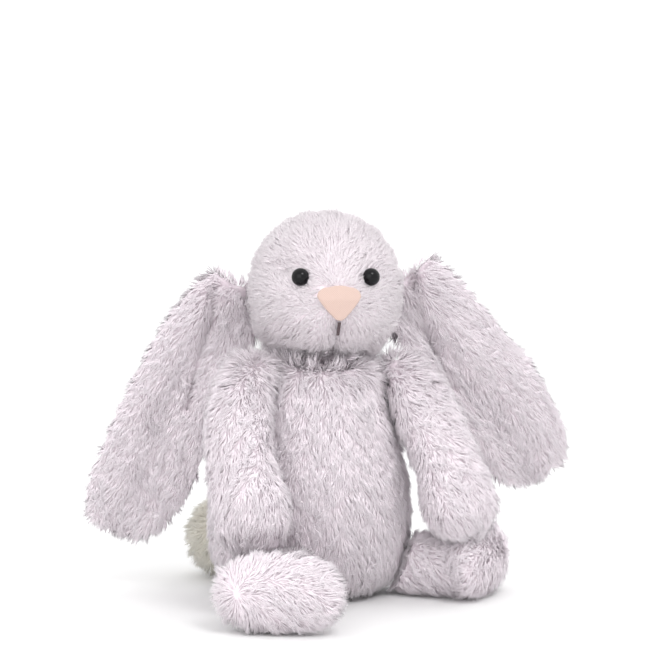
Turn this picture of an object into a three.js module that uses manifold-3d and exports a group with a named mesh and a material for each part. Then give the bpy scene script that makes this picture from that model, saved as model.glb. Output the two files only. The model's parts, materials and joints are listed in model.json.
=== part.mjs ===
// A floppy-eared plush rabbit sitting on the floor: sewn skins, loose stuffing and bean pouches.
// Millimetres, +Z up. The rabbit faces -Y, its left side is +X, and the origin is the centre of the
// flat seat that it sits on. Left and right are the rabbit's own.
import * as THREE from 'three';
import { mergeVertices } from 'three/addons/utils/BufferGeometryUtils.js';
import Module from 'manifold-3d';

const wasm = await Module();
wasm.setup();

// ---------------------------------------------------------------- driving dimensions
const GAP = 0.3;                 // between pieces that touch
const SWING_GAP = 0.8;           // between pieces that move past each other
const SKIN = 2.4;                // plush fabric: backing cloth and the dense foot of its pile

const TORSO_HEIGHT = 135;        // seat to the top of the shoulders
const TORSO_RADIUS = 57;         // widest, at the belly
const TORSO_DEPTH = 0.92;        // front-to-back size as a share of the width
const SEAT_RADIUS = 36;          // flat part that the rabbit sits on
const NECK_RADIUS = 26;          // neck opening of the torso skin
const SHOULDER_RADIUS = 31.5;    // where the torso rounds in to its neck opening
const NECK_DROP = 10;            // centre of the neck's stuffing, below the torso's top
const NECK_LEAN = 9;             // how far the neck lies in front of the seat's centre
const NECK_BALL = 19.5;          // stuffing that fills the neck
const SIDE_SEAM = -5;            // Y of the seams down the torso's sides
const SEAT_POUCH_HEIGHT = 17;    // bag of plastic beans under the stuffing

const HEAD_WIDTH = 84;           // cheek to cheek
const HEAD_HEIGHT = 80;          // chin to crown
const HEAD_DEPTH = 78;           // without the muzzle
const MUZZLE = 9;                // how far the muzzle stands out
const MUZZLE_WIDTH = 21;         // from its middle to where it fades into the cheeks
const MUZZLE_HEIGHT = 17;
const MUZZLE_DROP = 12.5;        // its middle, below the head's centre
const MUZZLE_REACH = 20;         // how far behind the face's front it begins
const HEAD_LEAN = 14;            // the head's centre, in front of the seat's centre
const CHIN_RISE = 2.5;           // the chin, above the centre of the neck's stuffing
const HEAD_TURN = -28.5;         // degrees: the head looks to the rabbit's right
const GUSSET_WIDTH = 27;         // strip of skin from the nose over the crown to the neck
const CHIN_WIDTH = 30;           // skin panel under the mouth
const FACE_BACK = -1;            // Y, in the head, where the panels of the face end

const EYE_DIAMETER = 9.2;        // domed safety eye
const EYE_SPACING = 37.6;
const EYE_HEIGHT = 4;            // above the head's centre
const EYE_DOME = 4.2;            // how far the dome stands up from its rim
const EYE_SINK = 1.2;            // how deep the rim is pressed into the plush
const EYE_TILTS = [0.36, 0.12];  // how far the eyes look sideways and up, as slopes
const SHANK_DIAMETER = 3;
const SHANK_LENGTH = 7.5;
const SHANK_OVERLAP = 0.5;       // length of shank inside the dome
const WASHER_DIAMETER = 12;
const WASHER_THICKNESS = 1.4;
const WASHER_SETBACK = 2.2;      // behind the skin, level with the rim

const NOSE_WIDTH = 22;
const NOSE_HEIGHT = 17;
const NOSE_DROP = 9.5;           // nose centre below the head's centre
const NOSE_THICKNESS = 1.8;
const STITCH_WIDTH = 1.7;
const STITCH_LENGTH = 7;
const STITCH_DROP = 1;           // below the nose

const EAR_LENGTH = 168;
const EAR_WIDTH = 57;
const EAR_THICKNESS = 9.5;       // both panels together, at the middle
const EAR_CUP = 8;               // how far the long edges curl forward
const EAR_CREASE = 5;            // depth of the fold that runs down the front
const EAR_CREASE_WIDTH = 8;
const EAR_GAP = 1.2;              // between the two panels, which bend together

const ARM_LENGTH = 115;
const ARM_DIAMETER = 37;
const PAW_DIAMETER = 43;
const PAW_POUCH_LENGTH = 17;

const LEG_REACHES = { right: 62, left: 63 };   // hip to the middle of the foot
const LEG_DIAMETER = 35;
const THIGH_START = 12;          // the leg skin's open end, ahead of the hip
const LEG_SPLAYS = { right: 46, left: 29 };    // degrees away from straight ahead
const FOOT_LENGTH = 67;          // heel to toe
const FOOT_WIDTH = 42;
const FOOT_THICKNESS = 25;       // sole to instep
const FOOT_SINK = 1;             // how much of its lower edge is pressed flat by the floor
const SOLE_SEAM = 0.12;          // the sole's seam in front of the foot's middle, in thicknesses
const ANKLE_EASE = 1;            // extra radius of the opening between the leg and the foot
const FOOT_POUCH_LENGTH = 15;
const FOOT_SHIFTS = { right: 0, left: 9 };      // leg's end to the middle of the foot, towards the toes

const TAIL_DIAMETER = 45;
const TAIL_SHIFT = -8;           // X of its middle
const TAIL_SINK = 9.7;           // how deep its ball is pressed against the back
const TAIL_LIFT = 1;             // above the floor
const TAIL_OPENING = 16;

// Hips and shoulders: the rabbit sits with one hip tucked back, so its two sides differ.
const HIP_SHARES = { right: [-0.526, -0.526], left: [0.474, -0.246] };         // X, Y in torso radii
const SHOULDER_SHARES = { right: [-0.509, -0.088], left: [0.518, -0.316] };    // X, Y in torso radii
const SHOULDER_DROPS = { right: 9, left: 11 };                                 // below the torso's top
const ARM_LIES = {               // steps from shoulder to paw: [turn from straight ahead, drop below level]
  right: [[-78, 37], [-52, 48], [-26, 61], [-6, 66], [8, 78]],
  left: [[34, 36], [16, 48], [2, 56], [-8, 60], [-12, 72]],
};
// Where each ear's middle line starts, and the seam that it lifts about, from the head's centre.
// X is in head widths.
const EAR_ROOTS = { right: [-0.357, 15, 5], left: [0.321, 8, 14] };
const EAR_SEAMS = { right: [-0.488, 15, -5], left: [0.476, 8, 0] };
const EAR_LIES = {               // spread from the vertical along the ear, and how far it hangs back
  right: { spreads: [46, 26, 22, 27], back: 7, crease: 5 },
  left: { spreads: [49, 42, 36, 30], back: 10, crease: -9 },
};

// Swings that the pieces are cut to clear, in degrees, with 0 as the rabbit sits.
const HEAD_TURNING = [-3, 20];
const HEAD_NODDING = [-6, 8];
const ARM_SWING = [0, 36];
const ARM_SWING_HEADING = { right: -30, left: -10 };
const LEG_SWING = [-70, 0];
const EAR_SWING = [0, 60];
const SWING_STEPS = 4;
const FAR = 300;                 // reach of a cutter that has to pass right through
const PROBE = 0.2;               // half the width of the cutter that finds the face's surface
const THIN = 0.05;               // least radius of a profile between its closed ends

// ---------------------------------------------------------------- materials
const PLUSH = { color: 0xdcd0dc, roughness: 0.95, metalness: 0 };
const SHORT_PLUSH = { color: 0xe6dbe4, roughness: 0.95, metalness: 0 };
const TAIL_PLUSH = { color: 0xf1ece2, roughness: 0.95, metalness: 0 };
const FIBRE = { color: 0xf4f4f2, roughness: 0.9, metalness: 0 };
const POUCH_CLOTH = { color: 0xe8e4dc, roughness: 0.85, metalness: 0 };
const EYE_PLASTIC = { color: 0x0b0b0d, roughness: 0.08, metalness: 0 };
const WASHER_PLASTIC = { color: 0xf0f0ee, roughness: 0.5, metalness: 0 };
const NOSE_CLOTH = { color: 0xf2cdbd, roughness: 0.8, metalness: 0 };
const THREAD = { color: 0x55494c, roughness: 0.8, metalness: 0 };

// ---------------------------------------------------------------- geometry to solids and back
const rad = (degrees) => (degrees * Math.PI) / 180;
const ABOVE = new THREE.Vector3(0, 0, 1);
const TURNED_AXIS = new THREE.Vector3(0, 1, 0);    // of a cylinder or a turned form before it is placed

// Merges a geometry's vertices, drops collapsed triangles and faces it outwards.
function closed(geometry) {
  const bare = geometry.clone();
  bare.deleteAttribute('normal');
  bare.deleteAttribute('uv');
  const merged = mergeVertices(bare, 1e-3);
  const p = merged.attributes.position.array;
  const faces = [];
  let volume = 0;
  const index = merged.index.array;
  for (let i = 0; i < index.length; i += 3) {
    const [a, b, c] = [index[i], index[i + 1], index[i + 2]];
    if (a === b || b === c || c === a) continue;
    faces.push(a, b, c);
    const A = new THREE.Vector3().fromArray(p, 3 * a);
    const B = new THREE.Vector3().fromArray(p, 3 * b);
    const C = new THREE.Vector3().fromArray(p, 3 * c);
    volume += A.dot(B.cross(C));
  }
  if (volume < 0) faces.reverse();
  return { vertProperties: Float32Array.from(p), triVerts: Uint32Array.from(faces) };
}

const solid = (geometry) => new wasm.Manifold(new wasm.Mesh({ numProp: 3, ...closed(geometry) }));

function toGeometry(manifold) {
  const mesh = manifold.getMesh();
  const geometry = new THREE.BufferGeometry();
  geometry.setAttribute('position', new THREE.BufferAttribute(mesh.vertProperties, 3));
  geometry.setIndex(new THREE.BufferAttribute(mesh.triVerts, 1));
  geometry.computeVertexNormals();
  return geometry;
}

// A box between two corners, used as a cutter.
function block(low, high) {
  const size = high.map((value, i) => value - low[i]);
  const geometry = new THREE.BoxGeometry(...size);
  geometry.translate(...low.map((value, i) => value + size[i] / 2));
  return solid(geometry);
}

function ball(radius, centre) {
  const geometry = new THREE.SphereGeometry(radius, 16, 8);
  geometry.translate(...centre);
  return solid(geometry);
}

// Everything on one side of a plane: the side that the direction points to.
function halfSpace(point, direction) {
  return rod(FAR, FAR, point, direction, 4);
}

// A cylinder that starts at a point and runs along a direction.
function rod(radius, length, start, direction, segments = 14) {
  const geometry = new THREE.CylinderGeometry(radius, radius, length, segments);
  geometry.translate(0, length / 2, 0);
  const turn = new THREE.Quaternion().setFromUnitVectors(TURNED_AXIS, direction.clone().normalize());
  geometry.applyQuaternion(turn);
  geometry.translate(start.x, start.y, start.z);
  return solid(geometry);
}

// ---------------------------------------------------------------- soft forms
// A profile is a list of [along, radius] from one closed end to the other. It is smoothed, and moved
// outwards by grow, or inwards if grow is negative.
function profileOf(stations, grow = 0, samples = 10) {
  const curve = new THREE.SplineCurve(stations.map(([along, radius]) => new THREE.Vector2(radius, along)));
  const points = curve.getSpacedPoints(samples);
  return points.map((point, i) => {
    const before = points[Math.max(i - 1, 0)];
    const after = points[Math.min(i + 1, samples)];
    const tangent = after.clone().sub(before).normalize();
    if (i === 0) tangent.set(1, 0);
    if (i === samples) tangent.set(-1, 0);
    const moved = new THREE.Vector2(point.x + tangent.y * grow, point.y - tangent.x * grow);
    moved.x = i === 0 || i === samples ? 0 : Math.max(moved.x, THIN);
    return moved;
  });
}

// A turned form, every point of which is then placed: place(across, forward, along) gives [x, y, z].
function turned(profile, place, segments = 14) {
  const geometry = new THREE.LatheGeometry(profile, segments);
  const position = geometry.attributes.position;
  for (let i = 0; i < position.count; i += 1) {
    const spot = place(position.getX(i), position.getZ(i), position.getY(i));
    position.setXYZ(i, ...spot);
  }
  return solid(geometry);
}

// Places a turned form along a curve. side is the direction of its width, and cup bends it along its
// thickness.
function alongCurve(curve, length, side, cup = () => 0) {
  const start = curve.getPoint(0);
  const startTangent = curve.getTangent(0);
  const end = curve.getPoint(1);
  const endTangent = curve.getTangent(1);
  return (across, forward, along) => {
    const t = along / length;
    const inside = Math.min(Math.max(t, 0), 1);
    const centre = curve.getPointAt(inside);
    const tangent = curve.getTangentAt(inside);
    if (t < 0) centre.copy(start).addScaledVector(startTangent, along);
    if (t > 1) centre.copy(end).addScaledVector(endTangent, along - length);
    const width = side.clone().addScaledVector(tangent, -side.dot(tangent)).normalize();
    const thickness = new THREE.Vector3().crossVectors(tangent, width);
    centre.addScaledVector(width, across);
    centre.addScaledVector(thickness, forward + cup(across, along));
    return centre.toArray();
  };
}

// Everything that a piece passes over while it turns about a hinge, seen from the piece.
function sweptBy(obstacle, pivot, axis, [low, high]) {
  const centre = new THREE.Vector3(...pivot);
  let swept = null;
  for (let step = 0; step <= SWING_STEPS; step += 1) {
    const angle = -rad(low + ((high - low) * step) / SWING_STEPS);
    const matrix = new THREE.Matrix4().makeTranslation(centre)
      .multiply(new THREE.Matrix4().makeRotationAxis(new THREE.Vector3(...axis).normalize(), angle))
      .multiply(new THREE.Matrix4().makeTranslation(centre.clone().negate()));
    const turnedObstacle = obstacle.transform(matrix.toArray());
    swept = swept ? swept.add(turnedObstacle) : turnedObstacle;
  }
  return swept;
}

// ---------------------------------------------------------------- the assembly
const rabbit = new THREE.Group();

function piece(name, manifold, look, parent = rabbit) {
  const mesh = new THREE.Mesh(toGeometry(manifold), new THREE.MeshStandardMaterial(look));
  mesh.name = name;
  parent.add(mesh);
  return mesh;
}

// ---------------------------------------------------------------- torso
const TORSO_STATIONS = [
  [0, 0], [0, 0.5 * SEAT_RADIUS], [0, SEAT_RADIUS],
  [0.09 * TORSO_HEIGHT, 0.92 * TORSO_RADIUS],
  [0.27 * TORSO_HEIGHT, TORSO_RADIUS],
  [0.46 * TORSO_HEIGHT, 0.97 * TORSO_RADIUS],
  [0.68 * TORSO_HEIGHT, 0.8 * TORSO_RADIUS],
  [0.84 * TORSO_HEIGHT, 0.67 * TORSO_RADIUS],
  [0.94 * TORSO_HEIGHT, SHOULDER_RADIUS],
  [0.99 * TORSO_HEIGHT, 0.8 * NECK_RADIUS], [TORSO_HEIGHT, 0],
];

// The belly leans forward towards the neck, and everything stays above the seat.
function placeTorso(across, forward, along) {
  const lean = -NECK_LEAN * (along / TORSO_HEIGHT) ** 2;
  return [across, forward * TORSO_DEPTH + lean, along];
}

const neck = [0, -NECK_LEAN, TORSO_HEIGHT - NECK_DROP];
const torsoForm = (grow) => turned(profileOf(TORSO_STATIONS, grow, 13), placeTorso, 22);
const torsoReach = (extra) => torsoForm(SWING_GAP + extra);
const torsoOuter = torsoForm(0).subtract(block([-FAR, -FAR, -FAR], [FAR, FAR, 0]));
const torsoInner = torsoForm(-SKIN);
const torsoFilling = torsoForm(-SKIN - GAP);
const neckPocket = ball(NECK_BALL + SWING_GAP, neck);

// Tail: a round pompom pressed against the back.
const tailRadius = TAIL_DIAMETER / 2;
const tailBehind = TORSO_RADIUS * TORSO_DEPTH + tailRadius - TAIL_SINK;
const tailCentre = [TAIL_SHIFT, tailBehind, tailRadius + TAIL_LIFT];
const tailForm = (grow) => ball(tailRadius + grow, tailCentre);
const tailOpening = rod(TAIL_OPENING / 2, tailRadius, new THREE.Vector3(...tailCentre),
  new THREE.Vector3(0, -1, 0));
const tailSkin = tailForm(0).subtract(tailForm(-SKIN)).subtract(torsoForm(GAP)).subtract(tailOpening);

piece('tail_skin', tailSkin, TAIL_PLUSH);
piece('tail_stuffing', tailForm(-SKIN - GAP).subtract(torsoForm(GAP + SKIN)), FIBRE);
piece('neck_stuffing', ball(NECK_BALL, neck), FIBRE);

// ---------------------------------------------------------------- head
const headCentre = new THREE.Vector3(0, -HEAD_LEAN, neck[2] + CHIN_RISE + HEAD_HEIGHT / 2);
const head = new THREE.Group();
head.position.copy(headCentre);
head.rotation.z = rad(HEAD_TURN);
rabbit.add(head);

// A point of the rabbit, seen from the head's own centre and facing.
function inHead([x, y, z]) {
  return new THREE.Vector3(x, y, z).sub(headCentre).applyAxisAngle(ABOVE, -rad(HEAD_TURN));
}

const HALF = HEAD_HEIGHT / 2;
const HEAD_STATIONS = [
  [-0.97 * HALF, 0], [-0.95 * HALF, 0.25 * HEAD_WIDTH], [-0.78 * HALF, 0.395 * HEAD_WIDTH],
  [-0.5 * HALF, 0.475 * HEAD_WIDTH], [-0.15 * HALF, 0.5 * HEAD_WIDTH], [0.2 * HALF, 0.485 * HEAD_WIDTH],
  [0.5 * HALF, 0.425 * HEAD_WIDTH], [0.76 * HALF, 0.32 * HEAD_WIDTH], [0.94 * HALF, 0.17 * HEAD_WIDTH],
  [HALF, 0],
];

// The muzzle stands out below the eyes.
function placeHead(across, forward, along) {
  const bulge = Math.exp(-((across / MUZZLE_WIDTH) ** 2) - ((along + MUZZLE_DROP) / MUZZLE_HEIGHT) ** 2);
  const front = forward < 0 ? -MUZZLE * bulge * Math.min(1, -forward / MUZZLE_REACH) : 0;
  return [across, (forward * HEAD_DEPTH) / HEAD_WIDTH + front, along];
}

const headForm = (grow) => turned(profileOf(HEAD_STATIONS, grow, 13), placeHead, 24);
const headOuter = headForm(0);
const headInner = headForm(-SKIN);
const headFilling = headForm(-SKIN - GAP);
const headReach = headForm(SWING_GAP);

// The room that the head needs while it turns and nods, seen from the torso.
head.updateMatrixWorld();
const nodAxis = [-Math.cos(rad(HEAD_TURN)), -Math.sin(rad(HEAD_TURN)), 0];
const headInPlace = headReach.transform(head.matrixWorld.toArray());
const headNodding = sweptBy(headInPlace, neck, nodAxis, HEAD_NODDING);
const headRoom = sweptBy(headNodding, neck, [0, 0, -1], HEAD_TURNING);

// ---------------------------------------------------------------- torso skins and stuffing
const neckMouth = rod(NECK_BALL + SWING_GAP, NECK_BALL, new THREE.Vector3(...neck), ABOVE);
const torsoShell = torsoOuter.subtract(torsoInner).subtract(neckMouth).subtract(headRoom);
const beansTop = SKIN + GAP + SEAT_POUCH_HEIGHT;
const torsoFibre = torsoFilling.intersect(block([-FAR, -FAR, beansTop + GAP], [FAR, FAR, FAR]));
const frontHalf = block([-FAR, -FAR, -FAR], [FAR, SIDE_SEAM - GAP, FAR]);
const backHalf = block([-FAR, SIDE_SEAM, -FAR], [FAR, FAR, FAR]);

piece('torso_front_skin', torsoShell.intersect(frontHalf), PLUSH);
piece('torso_back_skin', torsoShell.intersect(backHalf), PLUSH);
piece('torso_stuffing', torsoFibre.subtract(neckPocket).subtract(headRoom), FIBRE);
piece('seat_bean_pouch', torsoFilling.intersect(block([-FAR, -FAR, 0], [FAR, FAR, beansTop])), POUCH_CLOTH);

// ---------------------------------------------------------------- face
const neckInHead = inHead(neck);
const headNeckPocket = ball(NECK_BALL + SWING_GAP, neckInHead.toArray());
const headOpening = rod(NECK_BALL + SWING_GAP, NECK_BALL, neckInHead, ABOVE);

// Where a straight line through the head along Y comes out of its face.
function faceAt(form, x, z) {
  const probe = form.intersect(block([x - PROBE, -FAR, z - PROBE], [x + PROBE, 0, z + PROBE]));
  return probe.boundingBox().min[1];
}

// Eyes: a dome on a shank that goes through the skin, held by a washer behind it.
const eyeParts = [];
for (const [side, sign] of [['right', -1], ['left', 1]]) {
  const x = (sign * EYE_SPACING) / 2;
  const surface = new THREE.Vector3(x, faceAt(headOuter, x, EYE_HEIGHT), EYE_HEIGHT);
  const [sideways, upwards] = EYE_TILTS;
  const outward = new THREE.Vector3(sign * sideways, -1, upwards).normalize();
  const inwards = outward.clone().negate();
  const rim = surface.clone().addScaledVector(inwards, EYE_SINK);
  const eyeRadius = EYE_DIAMETER / 2;
  const domeProfile = profileOf([[0, 0], [0, 0.6 * eyeRadius], [0, eyeRadius],
    [0.5 * EYE_DOME, 0.86 * eyeRadius], [0.86 * EYE_DOME, 0.5 * eyeRadius], [EYE_DOME, 0]], 0, 9);
  const turn = new THREE.Quaternion().setFromUnitVectors(TURNED_AXIS, outward);
  const placeEye = (across, forward, along) => new THREE.Vector3(across, along, forward)
    .applyQuaternion(turn).add(rim).toArray();
  const shankTop = rim.clone().addScaledVector(outward, SHANK_OVERLAP);
  const shank = rod(SHANK_DIAMETER / 2, SHANK_LENGTH, shankTop, inwards, 10);
  const shankHole = rod(SHANK_DIAMETER / 2 + GAP, SHANK_LENGTH + 2 * GAP, shankTop, inwards, 10);
  const eye = turned(domeProfile, placeEye, 16).add(shank);
  const seat = rod(eyeRadius + GAP, EYE_DIAMETER, rim.clone().addScaledVector(inwards, GAP), outward, 16);
  const washerStart = rim.clone().addScaledVector(inwards, SKIN + WASHER_SETBACK);
  const washer = rod(WASHER_DIAMETER / 2, WASHER_THICKNESS, washerStart, inwards, 16).subtract(shankHole);
  const washerPocket = rod(WASHER_DIAMETER / 2 + GAP, WASHER_THICKNESS + 2 * GAP,
    washerStart.clone().addScaledVector(outward, GAP), inwards, 16);
  eyeParts.push({ side, eye, washer, seat, shankHole, washerPocket });
}

// Nose: a rounded triangle of cloth sewn on the muzzle; mouth: one upright stitch below it.
const noseShape = new THREE.Shape();
noseShape.moveTo(-NOSE_WIDTH / 2, NOSE_HEIGHT * 0.22);
noseShape.quadraticCurveTo(-NOSE_WIDTH * 0.46, NOSE_HEIGHT * 0.46, -NOSE_WIDTH * 0.22, NOSE_HEIGHT * 0.47);
noseShape.quadraticCurveTo(0, NOSE_HEIGHT * 0.56, NOSE_WIDTH * 0.22, NOSE_HEIGHT * 0.47);
noseShape.quadraticCurveTo(NOSE_WIDTH * 0.46, NOSE_HEIGHT * 0.46, NOSE_WIDTH / 2, NOSE_HEIGHT * 0.22);
noseShape.quadraticCurveTo(NOSE_WIDTH * 0.42, -NOSE_HEIGHT * 0.02, NOSE_WIDTH * 0.1, -NOSE_HEIGHT * 0.44);
noseShape.quadraticCurveTo(0, -NOSE_HEIGHT * 0.54, -NOSE_WIDTH * 0.1, -NOSE_HEIGHT * 0.44);
noseShape.quadraticCurveTo(-NOSE_WIDTH * 0.42, -NOSE_HEIGHT * 0.02, -NOSE_WIDTH / 2, NOSE_HEIGHT * 0.22);

function nosePrism() {
  const prism = new THREE.ExtrudeGeometry(noseShape, { depth: FAR, bevelEnabled: false, curveSegments: 4 });
  prism.rotateX(Math.PI / 2);
  prism.translate(0, 0, -NOSE_DROP);
  return solid(prism);
}

const noseFoot = headForm(GAP);
const nose = nosePrism().intersect(headForm(NOSE_THICKNESS + GAP)).subtract(noseFoot);
const stitchTop = -NOSE_DROP - NOSE_HEIGHT / 2 - STITCH_DROP;
const stitch = block([-STITCH_WIDTH / 2, -FAR, stitchTop - STITCH_LENGTH], [STITCH_WIDTH / 2, 0, stitchTop])
  .intersect(headForm(STITCH_WIDTH * 0.6 + GAP)).subtract(noseFoot);

let shell = headOuter.subtract(headInner).subtract(headOpening).subtract(headNeckPocket);
let filling = headFilling.subtract(headNeckPocket);
for (const { seat, shankHole, washerPocket } of eyeParts) {
  shell = shell.subtract(seat).subtract(shankHole);
  filling = filling.subtract(shankHole).subtract(washerPocket).subtract(seat);
}

const noseTop = -NOSE_DROP + NOSE_HEIGHT * 0.2;
const chinTop = stitchTop - STITCH_LENGTH;
const gusset = (grow) => {
  const half = GUSSET_WIDTH / 2 + grow;
  const brow = block([-half, -FAR, noseTop - grow], [half, 0, FAR]);
  return brow.add(block([-half, FACE_BACK, -FAR], [half, FAR, FAR]));
};
const chin = (grow) => {
  const half = CHIN_WIDTH / 2 + grow;
  return block([-half, -FAR, -FAR], [half, FACE_BACK - GAP, chinTop + grow]);
};

piece('head_top_gusset', shell.intersect(gusset(0)), PLUSH, head);
piece('chin_panel', shell.intersect(chin(0)), PLUSH, head);
const cheeks = shell.subtract(gusset(GAP)).subtract(chin(GAP));
piece('head_side_right', cheeks.intersect(block([-FAR, -FAR, -FAR], [-GAP / 2, FAR, FAR])), PLUSH, head);
piece('head_side_left', cheeks.intersect(block([GAP / 2, -FAR, -FAR], [FAR, FAR, FAR])), PLUSH, head);
piece('head_stuffing', filling, FIBRE, head);
piece('nose_patch', nose, NOSE_CLOTH, head);
piece('mouth_stitch', stitch, THREAD, head);
for (const { side, eye, washer } of eyeParts) {
  piece(`eye_${side}`, eye, EYE_PLASTIC, head);
  piece(`eye_washer_${side}`, washer, WASHER_PLASTIC, head);
}

// ---------------------------------------------------------------- ears
const EAR_STATIONS = [
  [0, 0], [0.03 * EAR_LENGTH, 0.33 * EAR_WIDTH], [0.13 * EAR_LENGTH, 0.46 * EAR_WIDTH],
  [0.34 * EAR_LENGTH, 0.5 * EAR_WIDTH], [0.56 * EAR_LENGTH, 0.46 * EAR_WIDTH],
  [0.77 * EAR_LENGTH, 0.43 * EAR_WIDTH], [0.91 * EAR_LENGTH, 0.39 * EAR_WIDTH],
  [0.98 * EAR_LENGTH, 0.27 * EAR_WIDTH], [EAR_LENGTH, 0],
];

for (const [side, sign] of [['right', -1], ['left', 1]]) {
  const { spreads, back, crease } = EAR_LIES[side];
  const fromHead = ([share, y, z]) => [share * HEAD_WIDTH, y, z];
  const points = [new THREE.Vector3(...fromHead(EAR_ROOTS[side]))];
  for (const spread of spreads) {
    const [outwards, down] = [sign * Math.sin(rad(spread)), Math.cos(rad(spread))];
    const way = new THREE.Vector3(outwards, Math.sin(rad(back)), -down).normalize();
    points.push(points.at(-1).clone().addScaledVector(way, EAR_LENGTH / spreads.length));
  }
  const spine = new THREE.CatmullRomCurve3(points.reverse());
  const width = new THREE.Vector3(1, 0, 0);
  const flat = EAR_THICKNESS / EAR_WIDTH;
  const cup = (across, along) => EAR_CREASE * Math.exp(-(((across - crease) / EAR_CREASE_WIDTH) ** 2))
    - EAR_CUP * (across / (0.5 * EAR_WIDTH)) ** 2 * (along / EAR_LENGTH + 0.5);
  const placeEar = alongCurve(spine, EAR_LENGTH, width, cup);
  // Each panel is one half of a lens: the other half is pressed flat onto the seam between them.
  const panel = (facing) => turned(profileOf(EAR_STATIONS, 0, 12), (across, forward, along) => {
    const raised = Math.max(facing * forward, 0) * flat + EAR_GAP / 2;
    return placeEar(across, facing * raised, along);
  }, 14);
  const clear = sweptBy(headReach, fromHead(EAR_SEAMS[side]), [0, -sign, 0], EAR_SWING);
  piece(`ear_front_panel_${side}`, panel(-1).subtract(clear), SHORT_PLUSH, head);
  piece(`ear_back_panel_${side}`, panel(1).subtract(clear), PLUSH, head);
}

// ---------------------------------------------------------------- legs and feet
const legStations = (reach) => {
  const leg = LEG_DIAMETER / 2;
  return [[0, 0], [0.02 * reach, 0.7 * leg], [0.12 * reach, leg], [0.5 * reach, 1.03 * leg],
    [reach, leg], [1.15 * reach, 0.8 * leg], [1.2 * reach, 0]];
};
const FOOT_STATIONS = (() => {
  const half = FOOT_WIDTH / 2;
  return [[0, 0], [0.03 * FOOT_LENGTH, 0.48 * half], [0.17 * FOOT_LENGTH, 0.85 * half],
    [0.4 * FOOT_LENGTH, half], [0.68 * FOOT_LENGTH, 0.97 * half],
    [0.88 * FOOT_LENGTH, 0.75 * half], [0.98 * FOOT_LENGTH, 0.36 * half],
    [FOOT_LENGTH, 0]];
})();

const legRoom = {};              // the room that each leg and foot takes, for the paw that lies on it
for (const [side, sign] of [['right', -1], ['left', 1]]) {
  const [hipX, hipY] = HIP_SHARES[side].map((share) => share * TORSO_RADIUS);
  const splay = rad(LEG_SPLAYS[side]);
  const reach = LEG_REACHES[side];
  const ahead = new THREE.Vector3(sign * Math.sin(splay), -Math.cos(splay), 0);
  const toes = new THREE.Vector3(sign * Math.cos(splay), Math.sin(splay), 0);
  const legAxis = new THREE.Vector3(hipX, hipY, LEG_DIAMETER / 2);
  const footMiddle = new THREE.Vector3(hipX, hipY, FOOT_WIDTH / 2 - FOOT_SINK).addScaledVector(ahead, reach)
    .addScaledVector(toes, FOOT_SHIFTS[side]);
  const placeLeg = (across, forward, along) => legAxis.clone().addScaledVector(ABOVE, across)
    .addScaledVector(toes, forward).addScaledVector(ahead, reach - along).toArray();
  // The foot lies on its outer side: its width stands up and its toes point outwards.
  const placeFoot = (across, forward, along) => footMiddle.clone().addScaledVector(ABOVE, across)
    .addScaledVector(ahead, (forward * FOOT_THICKNESS) / FOOT_WIDTH)
    .addScaledVector(toes, along - FOOT_LENGTH / 2).toArray();
  const legForm = (grow) => turned(profileOf(legStations(reach), grow), placeLeg);
  const footForm = (grow) => turned(profileOf(FOOT_STATIONS, grow), placeFoot, 16);
  legRoom[side] = legForm(SWING_GAP).add(footForm(SWING_GAP));
  const hinge = legAxis.toArray();
  const axis = [ahead.y, -ahead.x, 0];
  const passed = (extra) => sweptBy(torsoReach(extra), hinge, axis, LEG_SWING);
  const floor = block([-FAR, -FAR, -FAR], [FAR, FAR, 0]);
  const ankle = rod(LEG_DIAMETER / 2 - SKIN + ANKLE_EASE, reach, legAxis, ahead);

  const thigh = halfSpace(legAxis.clone().addScaledVector(ahead, THIGH_START), ahead);
  const legSkin = legForm(0).subtract(legForm(-SKIN)).subtract(passed(0)).subtract(footForm(GAP));
  const legFibre = legForm(-SKIN - GAP).subtract(passed(GAP)).subtract(footForm(-SKIN));
  piece(`leg_skin_${side}`, legSkin.subtract(floor).intersect(thigh), PLUSH);
  piece(`leg_stuffing_${side}`, legFibre.intersect(thigh), FIBRE);

  const footSkin = footForm(0).subtract(footForm(-SKIN)).subtract(ankle).subtract(floor);
  const seam = footMiddle.clone().addScaledVector(ahead, FOOT_THICKNESS * SOLE_SEAM);
  const behindSeam = halfSpace(seam, ahead.clone().negate());
  const beforeSeam = halfSpace(seam.clone().addScaledVector(ahead, GAP), ahead);
  piece(`foot_upper_${side}`, footSkin.intersect(behindSeam), PLUSH);
  piece(`foot_sole_${side}`, footSkin.intersect(beforeSeam), SHORT_PLUSH);
  const footCore = footForm(-SKIN - GAP);
  const pouchEnd = footMiddle.clone().addScaledVector(toes, SKIN + FOOT_POUCH_LENGTH - FOOT_LENGTH / 2);
  const heel = halfSpace(pouchEnd, toes.clone().negate());
  const toe = halfSpace(pouchEnd.clone().addScaledVector(toes, GAP), toes);
  piece(`foot_bean_pouch_${side}`, footCore.intersect(heel), POUCH_CLOTH);
  piece(`foot_stuffing_${side}`, footCore.intersect(toe), FIBRE);
}

// ---------------------------------------------------------------- arms
const ARM_STATIONS = (() => {
  const paw = PAW_DIAMETER / 2;
  const arm = ARM_DIAMETER / 2;
  return [[0, 0], [0.12 * paw, 0.5 * paw], [0.5 * paw, 0.88 * paw], [1.1 * paw, paw],
    [0.36 * ARM_LENGTH, arm], [0.62 * ARM_LENGTH, arm], [0.84 * ARM_LENGTH, 0.86 * arm],
    [0.96 * ARM_LENGTH, 0.6 * arm], [ARM_LENGTH, 0]];
})();

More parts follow.
